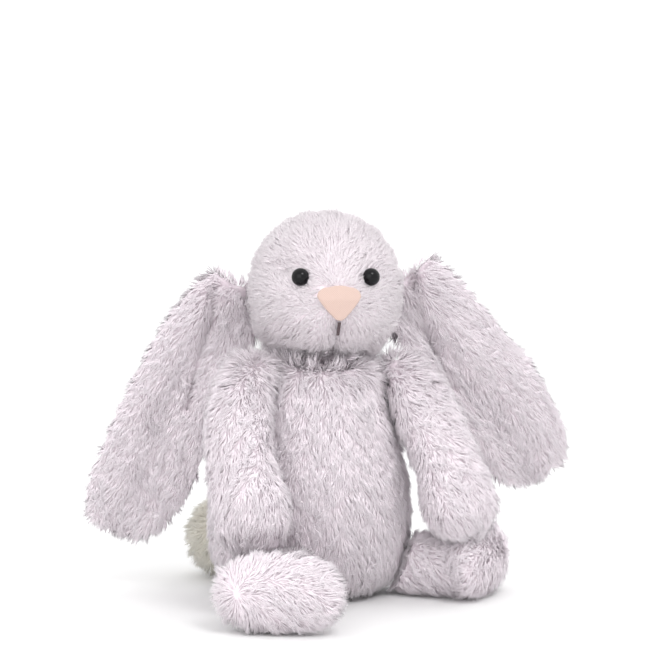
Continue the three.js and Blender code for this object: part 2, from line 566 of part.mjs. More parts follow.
for (const side of ['right', 'left']) {
  const [shoulderX, shoulderY] = SHOULDER_SHARES[side].map((share) => share * TORSO_RADIUS);
  const shoulder = [shoulderX, shoulderY, TORSO_HEIGHT - SHOULDER_DROPS[side]];
  const points = [new THREE.Vector3(...shoulder)];
  for (const [heading, drop] of ARM_LIES[side]) {
    const level = Math.cos(rad(drop));
    const [aside, ahead] = [level * Math.sin(rad(heading)), level * Math.cos(rad(heading))];
    const way = new THREE.Vector3(aside, -ahead, -Math.sin(rad(drop)));
    points.push(points.at(-1).clone().addScaledVector(way, ARM_LENGTH / ARM_LIES[side].length));
  }
  const spine = new THREE.CatmullRomCurve3(points.reverse());
  const place = alongCurve(spine, ARM_LENGTH, new THREE.Vector3(1, 0, 0));
  const form = (grow) => turned(profileOf(ARM_STATIONS, grow), place);
  const swing = rad(ARM_SWING_HEADING[side]);
  const axis = [-Math.cos(swing), -Math.sin(swing), 0];
  const passed = (extra) => sweptBy(torsoReach(extra), shoulder, axis, ARM_SWING);
  const others = sweptBy(headRoom, shoulder, axis, ARM_SWING).add(legRoom[side]);
  const core = form(-SKIN - GAP).subtract(passed(GAP)).subtract(others);
  const fromPaw = spine.getTangent(0);
  const pouchEnd = points[0].clone().addScaledVector(fromPaw, SKIN + PAW_POUCH_LENGTH);
  const beans = halfSpace(pouchEnd, fromPaw.clone().negate());
  const fibre = halfSpace(pouchEnd.clone().addScaledVector(fromPaw, GAP), fromPaw);
  piece(`arm_skin_${side}`, form(0).subtract(passed(0)).subtract(others).subtract(form(-SKIN)), PLUSH);
  piece(`arm_stuffing_${side}`, core.intersect(fibre), FIBRE);
  piece(`paw_bean_pouch_${side}`, core.intersect(beans), POUCH_CLOTH);
}

export default rabbit;
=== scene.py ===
# %% [markdown]
# # A sitting plush rabbit
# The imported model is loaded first. It holds every sewn skin, bag of stuffing and joint of the
# toy, in metres, with the rabbit facing -Y on a floor at Z = 0. Everything below is built around
# it: the plain solids give each body its place and size, and this script gives them cloth, fur
# and a face.

# %% Load the frame
import json
from math import cos, pi, radians, sin

import bmesh
import bpy
import numpy as np
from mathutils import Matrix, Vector

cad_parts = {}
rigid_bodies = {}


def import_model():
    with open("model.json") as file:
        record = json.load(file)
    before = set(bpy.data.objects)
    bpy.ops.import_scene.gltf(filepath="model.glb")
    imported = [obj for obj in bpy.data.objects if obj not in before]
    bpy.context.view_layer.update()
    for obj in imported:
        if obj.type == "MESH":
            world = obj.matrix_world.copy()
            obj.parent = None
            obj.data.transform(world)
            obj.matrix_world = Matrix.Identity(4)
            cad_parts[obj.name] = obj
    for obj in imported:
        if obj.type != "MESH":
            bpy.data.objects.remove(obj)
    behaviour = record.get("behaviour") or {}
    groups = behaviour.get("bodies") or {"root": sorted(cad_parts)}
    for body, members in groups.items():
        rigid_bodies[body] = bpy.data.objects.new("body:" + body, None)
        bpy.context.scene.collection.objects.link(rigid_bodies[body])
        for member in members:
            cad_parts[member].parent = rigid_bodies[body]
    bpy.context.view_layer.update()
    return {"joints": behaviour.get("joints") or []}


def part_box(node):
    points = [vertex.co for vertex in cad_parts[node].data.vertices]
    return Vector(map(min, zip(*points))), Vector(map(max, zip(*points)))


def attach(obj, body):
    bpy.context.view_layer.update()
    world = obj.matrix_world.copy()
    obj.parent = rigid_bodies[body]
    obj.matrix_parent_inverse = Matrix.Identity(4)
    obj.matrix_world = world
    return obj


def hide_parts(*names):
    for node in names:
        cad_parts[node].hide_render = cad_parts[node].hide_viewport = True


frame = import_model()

MM = 0.001

# %% [markdown]
# ## Camera
# The camera looks from the toy's right front, a little above the middle of its height, through a
# long lens. A long lens far away keeps the ears and feet at nearly the same scale.

# %% Camera
VIEW_TURN = radians(38)        # how far the camera stands round to the rabbit's right
VIEW_DISTANCE = 900 * MM
VIEW_HEIGHT = 180 * MM
VIEW_SIDE = 11.3 * MM          # the camera aims a little to the right of the torso
VIEW_DOWN = radians(2.4)
LENS = 91

towards = Vector((-sin(VIEW_TURN), -cos(VIEW_TURN), 0))
rightwards = Vector((cos(VIEW_TURN), -sin(VIEW_TURN), 0))
camera_data = bpy.data.cameras.new("studio camera")
camera_data.lens = LENS
camera_data.clip_start = 0.01
camera = bpy.data.objects.new("studio camera", camera_data)
camera.location = towards * VIEW_DISTANCE + rightwards * VIEW_SIDE + Vector((0, 0, VIEW_HEIGHT))
camera.rotation_euler = (pi / 2 - VIEW_DOWN, 0, -VIEW_TURN)
bpy.context.scene.collection.objects.link(camera)
bpy.context.scene.camera = camera
print("camera at", [round(v, 3) for v in camera.location])

# %% [markdown]
# ## Shader helper
# A material is easier to read as arithmetic than as a list of links. `Value` wraps a socket, so
# that `1 - mask * 0.5` adds the Math nodes that work it out. `Shader.node` adds any other node.


# %% Shader helper
class Value:
    def __init__(self, shader, socket):
        self.shader, self.socket = shader, socket

    def math(self, operation, *others, swap=False):
        inputs = [self, *others]
        if swap:
            inputs.reverse()
        return self.shader.node("ShaderNodeMath", {"operation": operation},
                                dict(enumerate(inputs)))

    def __add__(self, other): return self.math("ADD", other)
    def __radd__(self, other): return self.math("ADD", other, swap=True)
    def __sub__(self, other): return self.math("SUBTRACT", other)
    def __rsub__(self, other): return self.math("SUBTRACT", other, swap=True)
    def __mul__(self, other): return self.math("MULTIPLY", other)
    def __rmul__(self, other): return self.math("MULTIPLY", other, swap=True)
    def __truediv__(self, other): return self.math("DIVIDE", other)
    def __pow__(self, other): return self.math("POWER", other)

    def clamp(self):
        return self.math("MAXIMUM", 0.0).math("MINIMUM", 1.0)


class Shader:
    """A material under construction, with a Principled shader as its surface."""

    def __init__(self, name, **constants):
        self.material = bpy.data.materials.new(name)
        self.material.use_nodes = True
        self.tree = self.material.node_tree
        self.surface = self.tree.nodes["Principled BSDF"]
        for socket, value in constants.items():
            self.surface.inputs[socket.replace("_", " ")].default_value = value

    def node(self, kind, settings=None, inputs=None, output=0):
        made = self.tree.nodes.new(kind)
        for name, value in (settings or {}).items():
            setattr(made, name, value)
        for socket, value in (inputs or {}).items():
            self.put(made.inputs[socket], value)
        return Value(self, made.outputs[output])

    def put(self, socket, value):
        if isinstance(value, Value):
            self.tree.links.new(value.socket, socket)
        elif isinstance(value, tuple) and socket.type == "RGBA":
            socket.default_value = (*value, 1)
        else:
            socket.default_value = value

    def set(self, socket, value):
        self.put(self.surface.inputs[socket], value)

    def place(self):
        return self.node("ShaderNodeTexCoord", output="Object")

    def attribute(self, name):
        return self.node("ShaderNodeAttribute", {"attribute_name": name}, output="Fac")

    def noise(self, size, detail=2.0):
        return self.node("ShaderNodeTexNoise", {}, {
            "Vector": self.place(), "Scale": 1 / size, "Detail": detail, "Roughness": 0.5})

    def mix(self, factor, low, high):
        return self.node("ShaderNodeMix", {"data_type": "RGBA", "blend_type": "MIX"},
                         {0: factor, 6: low, 7: high}, output=2)

    def bump(self, height, strength, distance):
        normal = self.node("ShaderNodeBump", {}, {
            "Strength": strength, "Distance": distance, "Height": height})
        self.set("Normal", normal)


# %% [markdown]
# ## Plush
# Plush is a woven backing with a pile of fine polyester hair. The hair is made as real geometry
# below, in small locks. Its colour runs from a darker root to a pale tip; the darker root is
# painted shade, for the little light that gets in among the hairs. The colour also changes a
# little from lock to lock, partly as random tone and partly as painted shade and light on the
# clumps. The backing is painted close to the roots' darker colour, as painted shade of deep pile,
# so that any gap between locks looks like deep pile and not like a hole.

# %% Plush materials
# The root colours are darker than the tips as painted shade, for the little light that gets in
# among the hairs.
LILAC_TIP = (0.97, 0.895, 0.94)
LILAC_ROOT = (0.88, 0.765, 0.83)
CREAM_TIP = (0.98, 0.94, 0.84)
CREAM_ROOT = (0.95, 0.89, 0.77)
FACE_TIP = (0.89, 0.82, 0.86)
FACE_ROOT = (0.84, 0.765, 0.81)
# A lock's tip ranges from a duller to a paler copy of its colour. This is painted shade in clump
# hollows and ear folds, painted light on clump crests, and random tone.
PALER, DULLER, PALEST = 1.04, 0.90, 0.98      # how far a lock's tip strays from its colour


def lock_material(name, root, tip):
    shader = Shader(name, Roughness=0.75, Sheen_Weight=0.35, Sheen_Roughness=0.4,
                    Specular_IOR_Level=0.25)
    rise = shader.attribute("rise")
    lock_tone_and_shade = shader.attribute("lock_tone_and_shade")
    # Painted shade: each lock is darker at its root and fades to the tip's colour.
    depth = (rise * 1.15).clamp() ** 0.7
    colour = shader.mix(depth, root, tip)
    pale = tuple(min(PALEST, c * PALER) for c in tip)
    dull = tuple(c * DULLER for c in tip)
    # The tip's tint mixes random tone with painted shade and painted light from the clumps and the
    # ear folds.
    tint_with_painted_shade = shader.mix(lock_tone_and_shade, dull, pale)
    shader.set("Base Color", shader.mix(depth * 0.5, colour, tint_with_painted_shade))
    return shader.material


def backing_material(name, root, tip):
    shader = Shader(name, Roughness=0.9, Sheen_Weight=0.3, Sheen_Roughness=0.5,
                    Specular_IOR_Level=0.2)
    pile = shader.noise(1.4 * MM, detail=3.0)
    patch = shader.noise(9 * MM)
    # The backing is painted between the roots' darker colour and a middle one, as painted shade of
    # deep pile; the noise varies it at random.
    mid = tuple(0.5 * (a + b) for a, b in zip(root, tip))
    shader.set("Base Color", shader.mix((pile * 0.7 + patch * 0.3).clamp(), root, mid))
    shader.bump(pile, 0.6, 0.5 * MM)
    return shader.material


lilac_locks = lock_material("lilac plush locks", LILAC_ROOT, LILAC_TIP)
face_locks = lock_material("short lilac plush locks", FACE_ROOT, FACE_TIP)
cream_locks = lock_material("cream pompom locks", CREAM_ROOT, CREAM_TIP)
lilac_backing = backing_material("lilac plush backing", LILAC_ROOT, LILAC_TIP)
cream_backing = backing_material("cream plush backing", CREAM_ROOT, CREAM_TIP)
print("plush materials ready")

# %% [markdown]
# ## Soft forms
# Each sewn body is one rounded form once it is stuffed. Its plain solids are joined and wrapped
# in one even skin by a voxel remesh, which also gives the cloth simulation the even faces it
# needs. The skin starts a little small, because the stuffing will push it out and the hair grows
# back to full size.

# %% Soft form helpers
PILE_ROOM = 2.2 * MM           # the form lies this far inside the solids, to leave room for hair
SWELL_LIMIT = 1.6 * MM         # how far the stuffing may push any point of a skin
soft_forms = {}


def joined(name, nodes):
    """One mesh that holds copies of the nodes' meshes."""
    gathered = bmesh.new()
    for node in nodes:
        gathered.from_mesh(bpy.data.objects[node].data)
    bmesh.ops.remove_doubles(gathered, verts=gathered.verts, dist=1e-6)
    mesh = bpy.data.meshes.new(name)
    gathered.to_mesh(mesh)
    gathered.free()
    piece = bpy.data.objects.new(name, mesh)
    bpy.context.scene.collection.objects.link(piece)
    return piece


def applied(piece):
    """Turns the piece's modifiers into its mesh."""
    graph = bpy.context.evaluated_depsgraph_get()
    mesh = bpy.data.meshes.new_from_object(piece.evaluated_get(graph))
    piece.modifiers.clear()
    old, piece.data = piece.data, mesh
    mesh.name = piece.name
    bpy.data.meshes.remove(old)
    return piece


def outer_shell(piece):
    """Drops every closed surface inside the outer one."""
    work = bmesh.new()
    work.from_mesh(piece.data)
    left, shells = set(work.verts), []
    while left:
        shell, edge = set(), [left.pop()]
        while edge:
            vert = edge.pop()
            shell.add(vert)
            for link in vert.link_edges:
                other = link.other_vert(vert)
                if other in left:
                    left.discard(other)
                    edge.append(other)
        shells.append(shell)
    shells.sort(key=len)
    bmesh.ops.delete(work, geom=[v for shell in shells[:-1] for v in shell], context="VERTS")
    bmesh.ops.recalc_face_normals(work, faces=work.faces)
    work.to_mesh(piece.data)
    work.free()


def modifier(piece, kind, **settings):
    made = piece.modifiers.new(kind.lower(), kind)
    for name, value in settings.items():
        setattr(made, name, value)
    return made


def soft_form(name, nodes, body, material, room=PILE_ROOM, voxel=4 * MM, smooth=6):
    piece = joined(name, nodes)
    modifier(piece, "REMESH", mode="VOXEL", voxel_size=voxel)
    applied(piece)
    outer_shell(piece)
    modifier(piece, "SMOOTH", iterations=smooth, factor=0.5)
    modifier(piece, "DISPLACE", strength=-(room + 0.5 * SWELL_LIMIT), mid_level=0.0)
    applied(piece)
    piece.data.materials.append(material)
    piece.data.shade_smooth()
    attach(piece, body)
    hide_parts(*nodes)
    soft_forms[name] = piece
    print(f"{name}: {len(piece.data.polygons)} faces")
    return piece


# %% Torso, tail, neck and head
soft_form("torso_plush",
          ["torso_front_skin", "torso_back_skin", "torso_stuffing", "seat_bean_pouch"],
          "torso", lilac_backing)
soft_form("tail_plush", ["tail_skin", "tail_stuffing"], "torso", cream_backing)
soft_form("head_plush", ["head_top_gusset", "head_side_right", "head_side_left", "chin_panel",
                         "head_stuffing", "eye_washer_right", "eye_washer_left"],
          "head", lilac_backing, voxel=3 * MM)
soft_form("neck_plush", ["neck_stuffing"], "neck", lilac_backing, room=0.5 * MM)

# %% Limbs and ears
for side in ("right", "left"):
    soft_form(f"arm_plush_{side}",
              [f"arm_skin_{side}", f"arm_stuffing_{side}", f"paw_bean_pouch_{side}"],
              f"arm_{side}", lilac_backing, voxel=3 * MM)
    soft_form(f"leg_plush_{side}",
              [f"leg_skin_{side}", f"leg_stuffing_{side}", f"foot_upper_{side}",
               f"foot_sole_{side}", f"foot_stuffing_{side}", f"foot_bean_pouch_{side}"],
              f"leg_{side}", lilac_backing, voxel=3 * MM)
    soft_form(f"ear_plush_{side}", [f"ear_front_panel_{side}", f"ear_back_panel_{side}"],
              f"ear_{side}", lilac_backing, room=1.0 * MM, voxel=2.2 * MM, smooth=4)

# %% [markdown]
# ## Stuffing
# Stuffing pushes a skin out until the cloth is tight. Cloth simulation with inner pressure and no
# gravity does that. A cap on how far each point moves keeps every form close to its solids.

# %% Stuffing by cloth simulation
FIRM_PRESSURE = 60.0           # tightly filled bodies
SLACK_PRESSURE = 1.0           # ears, which are two panels with little between them
SIMULATED_FRAMES = 20


def corner_places(mesh):
    places = np.empty(len(mesh.vertices) * 3)
    mesh.vertices.foreach_get("co", places)
    return places.reshape(-1, 3)


def stuffed(pieces):
    scene = bpy.context.scene
    before = {piece.name: corner_places(piece.data) for piece in pieces}
    for piece in pieces:
        cloth = piece.modifiers.new("stuffing", "CLOTH")
        cloth.settings.quality = 4
        cloth.settings.use_pressure = True
        slack = piece.name.startswith("ear")
        cloth.settings.uniform_pressure_force = SLACK_PRESSURE if slack else FIRM_PRESSURE
        cloth.settings.effector_weights.gravity = 0
        cloth.point_cache.frame_end = SIMULATED_FRAMES
    for frame_number in range(1, SIMULATED_FRAMES + 1):
        scene.frame_set(frame_number)
    for piece in pieces:
        applied(piece)
        old, new = before[piece.name], corner_places(piece.data)
        step = new - old
        size = np.linalg.norm(step, axis=1, keepdims=True)
        capped = old + step * np.minimum(1, SWELL_LIMIT / np.maximum(size, 1e-9))
        piece.data.vertices.foreach_set("co", capped.ravel())
        mean, most = size.mean() / MM, size.max() / MM
        print(f"{piece.name}: pushed {mean:.2f} mm on average and {most:.2f} mm at most,"
              f" before the cap of {SWELL_LIMIT / MM:.1f} mm")
    scene.frame_set(1)


stuffed(list(soft_forms.values()))
for piece in soft_forms.values():
    modifier(piece, "SMOOTH", iterations=3, factor=0.5)
    modifier(piece, "SUBSURF", levels=1, render_levels=1)
    applied(piece)

# %% [markdown]
# ## The face under the fur
# The sewn head is not a plain ball. Thread pulls the plush in at the eyes, the two sides of the
# muzzle stand out like small cushions, and the mouth is a crease between them. Each of these is a
# soft hill or hollow laid on the form, placed in millimetres from the nose of the imported model.

# %% Shape the face
HEAD_TURN = radians(-28.5)


def middle(node):
    low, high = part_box(node)
    return np.array([(a + b) / 2 for a, b in zip(low, high)])


face_way = np.array([sin(HEAD_TURN), -cos(HEAD_TURN), 0.0])
face_side = np.array([cos(HEAD_TURN), sin(HEAD_TURN), 0.0])
upward = np.array([0.0, 0.0, 1.0])
nose_middle = middle("nose_patch")
eye_middles = {side: middle(f"eye_{side}") for side in ("right", "left")}
joint_places = {joint["name"]: np.array(joint["pos_m"]) for joint in frame["joints"]}
neck_place = joint_places["neck_nod"]


def on_face(sideways, up):
    """A place in the face's plane, in millimetres from the nose's middle."""
    return nose_middle + face_side * sideways * MM + upward * up * MM


FACE_HILLS = [                 # sideways, up, width, height, how far it stands out or in
    (-10, -14, 9, 7.5, 3.6), (10, -14, 9, 7.5, 3.6),
    (0, -16, 2.6, 8, -3.4),
    (-13, -23.5, 9, 3.2, -3.0), (13, -23.5, 9, 3.2, -3.0), (0, -25, 10, 3.2, -2.2),
    (-24.5, 16.5, 7, 5.5, -3.2), (24.5, 16.5, 7, 5.5, -3.2),
    (-30, -8, 13, 13, 1.2), (30, -8, 13, 13, 1.2),
]


FACE_FADE, FACE_REACH = 20 * MM, 1.9    # the hills fade out behind the nose, over this length


def face_relief(places):
    """How far the face stands out at each place."""
    relief = np.zeros(len(places))
    in_front = np.clip((places - nose_middle) @ face_way / FACE_FADE + FACE_REACH, 0, 1)
    for sideways, up, width, height, out in FACE_HILLS:
        away = places - on_face(sideways, up)
        squares = (away @ face_side / (width * MM)) ** 2 + (away[:, 2] / (height * MM)) ** 2
        relief += out * MM * np.exp(-squares) * in_front
    return relief


def corner_normals(mesh):
    normals = np.empty(len(mesh.vertices) * 3)
    mesh.vertices.foreach_get("normal", normals)
    return normals.reshape(-1, 3)


head_mesh = soft_forms["head_plush"].data
places = corner_places(head_mesh)
places += corner_normals(head_mesh) * face_relief(places)[:, None]
head_mesh.vertices.foreach_set("co", places.ravel())
head_mesh.update()
print("face shaped round the nose at", nose_middle.round(4))

# %% [markdown]
# ## Fold the ears
# A long ear is gathered where it is sewn on, and the gather runs on down its front as a deep fold.
# The fold is a line of points in one upright plane in front of the rabbit, laid straight back onto
# the ear's front. Near it the skin is pressed in, and later the hair there is left out or painted
# darker: painted shade for the bottom of a real fold, which hair hides from the light. The plane
# has an angle of its own, so the fold stays where it is when the camera moves.

# %% Fold the ears
FOLD_TURN = radians(38)        # how far the plane is turned from the rabbit's front, to its right
EAR_FOLDS = {                  # across the plane and up, in millimetres from the nose's middle
    "right": [(-66, 6), (-72, -20), (-78, -41), (-82, -58)],
    "left": [(40, 14), (44, -4), (50, -22), (57, -37), (64, -50)],
}
FOLD_WIDTH = 2.6 * MM
FOLD_DEPTH = 3.2 * MM
fold_across = np.array([cos(FOLD_TURN), -sin(FOLD_TURN), 0])
fold_facing = np.array([-sin(FOLD_TURN), -cos(FOLD_TURN), 0])


def fold_of(side, places, normals):
    """How deep in the ear's fold each place is, from 0 to 1."""
    from_nose = places - nose_middle
    flat = np.stack([from_nose @ fold_across, from_nose[:, 2]], axis=1)
    line = np.array(EAR_FOLDS[side]) * MM
    nearest = np.full(len(places), 1.0)
    for start, end in zip(line[:-1], line[1:]):
        run = end - start
        share = np.clip((flat - start) @ run / (run @ run), 0, 1)
        nearest = np.minimum(nearest, np.linalg.norm(flat - start - share[:, None] * run, axis=1))
    in_front = normals @ fold_facing > 0.1
    return np.exp(-(nearest / FOLD_WIDTH) ** 2) * in_front


for side in ("right", "left"):
    ear_mesh = soft_forms[f"ear_plush_{side}"].data
    places, normals = corner_places(ear_mesh), corner_normals(ear_mesh)
    places -= normals * FOLD_DEPTH * fold_of(side, places, normals)[:, None]
    ear_mesh.vertices.foreach_set("co", places.ravel())
    ear_mesh.update()
print("ears folded")

# %% [markdown]
# ## One lock of fur
# A lock is a few hairs that cling together. A thin three-sided spindle, with its widest part
# below the middle, has only six faces, and that is what makes a whole coat possible.

# %% Lock shape
LOCK_SIDES = 3
LOCK_WAIST = 0.36              # height of the widest part, as a share of the length


def lock_shape():
    """Corner places of one lock with a height and a radius of 1, and its triangles."""
    work = bmesh.new()
    bmesh.ops.create_cone(work, cap_ends=True, segments=LOCK_SIDES, radius1=1, radius2=0,
                          depth=1 - LOCK_WAIST)
    bmesh.ops.translate(work, verts=work.verts, vec=(0, 0, (1 + LOCK_WAIST) / 2))
    bmesh.ops.remove_doubles(work, verts=work.verts, dist=1e-5)
    base = min(work.faces, key=lambda face: face.calc_center_median().z)
    foot = bmesh.ops.poke(work, faces=[base])["verts"]
    bmesh.ops.translate(work, verts=foot, vec=(0, 0, -LOCK_WAIST))
    bmesh.ops.recalc_face_normals(work, faces=work.faces)
    bmesh.ops.triangulate(work, faces=work.faces)
    work.verts.index_update()
    corners = np.array([v.co[:] for v in work.verts])
    triangles = np.array([[v.index for v in f.verts] for f in work.faces])
    work.free()
    return corners, triangles


LOCK_CORNERS, LOCK_TRIANGLES = lock_shape()
print("one lock:", len(LOCK_CORNERS), "corners,", len(LOCK_TRIANGLES), "faces")

# %% [markdown]
# ## Growing the coat
# Locks are rooted at random places on the skin, the same ones each run. Each leans along the nap,
# the way the hair was combed. Real pile also falls into clumps: neighbouring locks lean towards
# each other and leave small partings. A smooth random field does that: locks lean up its slope,
# stand tall on its crests, and lie low in its hollows. Their colour is painted darker in the
# hollows, as painted shade, and paler on the crests, as painted light. The copies are laid out as
# arrays, because one operator call for each of so many locks would take hours.

# %% Coat helpers
rng = np.random.default_rng(7)
COAT_LIMIT = 33000             # locks in one piece, so that it stays under 200,000 faces


def waves(size, count=18):
    """A smooth random field with hills of about this size: its wave vectors and offsets."""
    directions = rng.normal(size=(count, 3))
    directions /= np.linalg.norm(directions, axis=1, keepdims=True)
    lengths = size * rng.uniform(0.75, 1.5, size=(count, 1))
    return directions * (2 * pi / lengths), rng.uniform(0, 2 * pi, count)


def height_and_slope(field, places):
    """The field's height, about -1 to 1, and its slope as a vector of length about 1."""
    vectors, offsets = field
    angle = places @ vectors.T + offsets
    scale = np.sqrt(2 / len(offsets))
    height = np.sin(angle).sum(axis=1) * scale / 1.6
    slope = np.cos(angle) @ vectors
    return height, slope * scale / np.linalg.norm(vectors, axis=1).mean()


CLUMPS = waves(7.5 * MM)
PATCHES = waves(26 * MM)
WISPS = waves(2.8 * MM)


def unit(vectors):
    return vectors / np.maximum(np.linalg.norm(vectors, axis=1, keepdims=True), 1e-9)


def flat_on(vectors, normals):
    """The part of each vector that lies in the skin."""
    return vectors - (vectors * normals).sum(axis=1, keepdims=True) * normals


def surface_points(piece, spacing):
    """Random places on a piece's skin, about one for each square of this spacing, with normals."""
    mesh = piece.data
    mesh.calc_loop_triangles()
    corners, normals = corner_places(mesh), corner_normals(mesh)
    index = np.empty(len(mesh.loop_triangles) * 3, int)
    mesh.loop_triangles.foreach_get("vertices", index)
    index = index.reshape(-1, 3)
    a, b, c = (corners[index[:, k]] for k in range(3))
    area = np.linalg.norm(np.cross(b - a, c - a), axis=1) / 2
    count = int(area.sum() / spacing ** 2)
    chosen = rng.choice(len(index), size=count, p=area / area.sum())
    u, v = rng.random(count), rng.random(count)
    over = u + v > 1
    u[over], v[over] = 1 - u[over], 1 - v[over]
    shares = np.stack([1 - u - v, u, v], axis=1)
    places = sum(shares[:, k, None] * corners[index[chosen, k]] for k in range(3))
    facing = unit(sum(shares[:, k, None] * normals[index[chosen, k]] for k in range(3)))
    return places, facing


FLOOR_CLEAR = 0.15 * MM

# How much the clumps, the wisps, the patches and chance each sway a lock.
WISP_LEAN, PATCH_LEAN, CHANCE_LEAN = 0.35, 0.3, 0.12
CLUMP_LENGTH, WISP_LENGTH, CHANCE_LENGTH = 0.10, 0.07, 0.13
CLUMP_LIFT, WISP_LIFT, CHANCE_LIFT = 0.08, 0.03, 0.05
# The clumps and wisps paint shade into their hollows and light onto their crests; the patches and
# chance only vary the tone at random.
CLUMP_PAINTED_SHADE, WISP_PAINTED_SHADE, PATCH_TONE, CHANCE_TONE = 0.18, 0.10, 0.10, 0.12
CHANCE_WIDTH = 0.2
LEAST_LIFT, MOST_LIFT = 0.10, 0.95
FLATNESS = 0.6                 # a lock's thickness, as a share of its width
BEND = 0.45                    # how far a lock rises early and bends over
SKIN_SHARE, TIP_SHARE = 0.4, 0.4    # how much the skin and the lean soften the shading


def grow(name, places, normals, nap, length, width, lift, material, body, slot,
         clumping=0.5, droop=0.08, fold=0.0):
    """Makes coat pieces from root places, skin normals and the nap, a direction at each root."""
    hill, slope = height_and_slope(CLUMPS, places)
    wisp, wisp_slope = height_and_slope(WISPS, places)
    patch, patch_slope = height_and_slope(PATCHES, places)
    count = len(places)
    lean = unit(flat_on(nap, normals))
    lean = lean + clumping * flat_on(slope, normals) + WISP_LEAN * flat_on(wisp_slope, normals)
    lean = lean + PATCH_LEAN * flat_on(patch_slope, normals)
    lean = lean + CHANCE_LEAN * rng.normal(size=(count, 3))
    lean = unit(flat_on(lean, normals))
    chance = rng.normal(size=count).clip(-1.6, 1.6)
    long = length * (1 + CLUMP_LENGTH * hill + WISP_LENGTH * wisp + CHANCE_LENGTH * chance)
    wide = width * (1 + CHANCE_WIDTH * rng.normal(size=count).clip(-1.5, 1.5))
    rise = lift + CLUMP_LIFT * hill + WISP_LIFT * wisp + CHANCE_LIFT * rng.normal(size=count)
    rise = np.clip(rise, LEAST_LIFT, MOST_LIFT)
    up, along = np.sin(rise * pi / 2), np.cos(rise * pi / 2)
    across = np.cross(normals, lean)
    # Clump and wisp hollows are painted darker as shade and their crests paler as light; patches
    # and chance vary the tone at random.
    lock_tone_and_shade = 0.5 + CLUMP_PAINTED_SHADE * hill + WISP_PAINTED_SHADE * wisp + PATCH_TONE * patch
    lock_tone_and_shade = lock_tone_and_shade + CHANCE_TONE * rng.normal(size=count)
    # At an ear's fold the locks' colour is painted darker still, as painted shade.
    lock_tone_and_shade = np.clip(lock_tone_and_shade - fold, 0, 1)

    h = LOCK_CORNERS[:, 2][None, :, None]
    x = LOCK_CORNERS[:, 0][None, :, None] * wide[:, None, None]
    y = LOCK_CORNERS[:, 1][None, :, None] * wide[:, None, None] * FLATNESS
    standing = (up[:, None] * normals)[:, None, :] * h * (1 + BEND - BEND * h)
    lying = (along[:, None] * lean)[:, None, :] * h * (0.7 + 0.3 * h)
    stem = long[:, None, None] * (standing + lying)
    corners = places[:, None, :] + stem + x * across[:, None, :] + y * normals[:, None, :]
    corners[:, :, 2] -= droop * long[:, None] * h[:, :, 0] ** 2
    corners[:, :, 2] = np.maximum(corners[:, :, 2], FLOOR_CLEAR)
    outwards = (x * across[:, None, :] + y * normals[:, None, :]).reshape(-1, 3)
    outwards = unit(outwards).reshape(corners.shape)
    soft = SKIN_SHARE * normals[:, None, :] + outwards + TIP_SHARE * h * lean[:, None, :]
    soft = unit(soft.reshape(-1, 3)).reshape(corners.shape)

    order = np.argsort(places @ np.array([0.3, 0.2, 1.0]))
    chunks = np.array_split(order, int(np.ceil(count / COAT_LIMIT)))
    for number, chunk in enumerate(chunks):
        coat_piece(f"{name}_{number + 1}", corners[chunk], soft[chunk], lock_tone_and_shade[chunk],
                   material, body)
    print(f"{name}: {count} locks in {len(chunks)} pieces")


def coat_piece(name, corners, normals, lock_tone_and_shade, material, body):
    count, per_lock = corners.shape[:2]
    faces = (LOCK_TRIANGLES[None] + per_lock * np.arange(count)[:, None, None]).reshape(-1, 3)
    mesh = bpy.data.meshes.new(name)
    mesh.vertices.add(count * per_lock)
    mesh.vertices.foreach_set("co", corners.ravel())
    mesh.loops.add(faces.size)
    mesh.loops.foreach_set("vertex_index", faces.ravel())
    mesh.polygons.add(len(faces))
    mesh.polygons.foreach_set("loop_start", np.arange(0, faces.size, 3))
    mesh.update(calc_edges=True)
    mesh.shade_smooth()
    rise = mesh.attributes.new("rise", "FLOAT", "POINT")
    rise.data.foreach_set("value", np.tile(LOCK_CORNERS[:, 2], count))
    tint_with_painted_shade = mesh.attributes.new("lock_tone_and_shade", "FLOAT", "POINT")
    tint_with_painted_shade.data.foreach_set("value", np.repeat(lock_tone_and_shade, per_lock))
    lay_out(mesh, count, faces)
    mesh.normals_split_custom_set_from_vertices(normals.reshape(-1, 3))
    mesh.materials.append(material)
    piece = bpy.data.objects.new(name, mesh)
    bpy.context.scene.collection.objects.link(piece)
    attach(piece, body)


def lay_out(mesh, count, faces):
    """A UV map with a small square for each lock: up is root to tip, across is round the lock."""
    side = int(np.ceil(np.sqrt(count)))
    per_lock = len(LOCK_CORNERS)
    lock, corner = faces // per_lock, faces % per_lock
    turn = np.arctan2(LOCK_CORNERS[:, 1], LOCK_CORNERS[:, 0]) / (2 * pi) + 0.5
    u = 0.1 + 0.8 * turn[corner]
    v = 0.1 + 0.8 * LOCK_CORNERS[corner, 2]
    uv = np.stack([(lock % side + u) / side, (lock // side + v) / side], axis=-1)
    layer = mesh.uv_layers.new(name="OFBake")
    layer.data.foreach_set("uv", uv.ravel())


def coat(form, body, nap_at, length=6.2 * MM, width=0.30 * MM, lift=0.29, spacing=0.70 * MM,
         material=None, keep=None, slot="plush", fold=None, **more):
    places, normals = surface_points(soft_forms[form], spacing)
    if keep is not None:
        kept = keep(places, normals)
        places, normals = places[kept], normals[kept]
    scale = length(places) if callable(length) else length
    rise = lift(places) if callable(lift) else lift
    if fold is not None:
        more["fold"] = fold(places, normals)
    nap = nap_at(places, normals)
    grow(form.replace("plush", "coat"), places, normals, nap, scale, width, rise,
         material or lilac_locks, body, slot, **more)


# %% [markdown]
# ## The nap of each part
# The hair runs down the torso and limbs and out along the ears. On the head it spreads from the
# nose, over the forehead and cheeks. On the soles it swirls out from the toes' end. Round the
# neck it stands up, to soften the gap in which the head turns, though it does not close it.

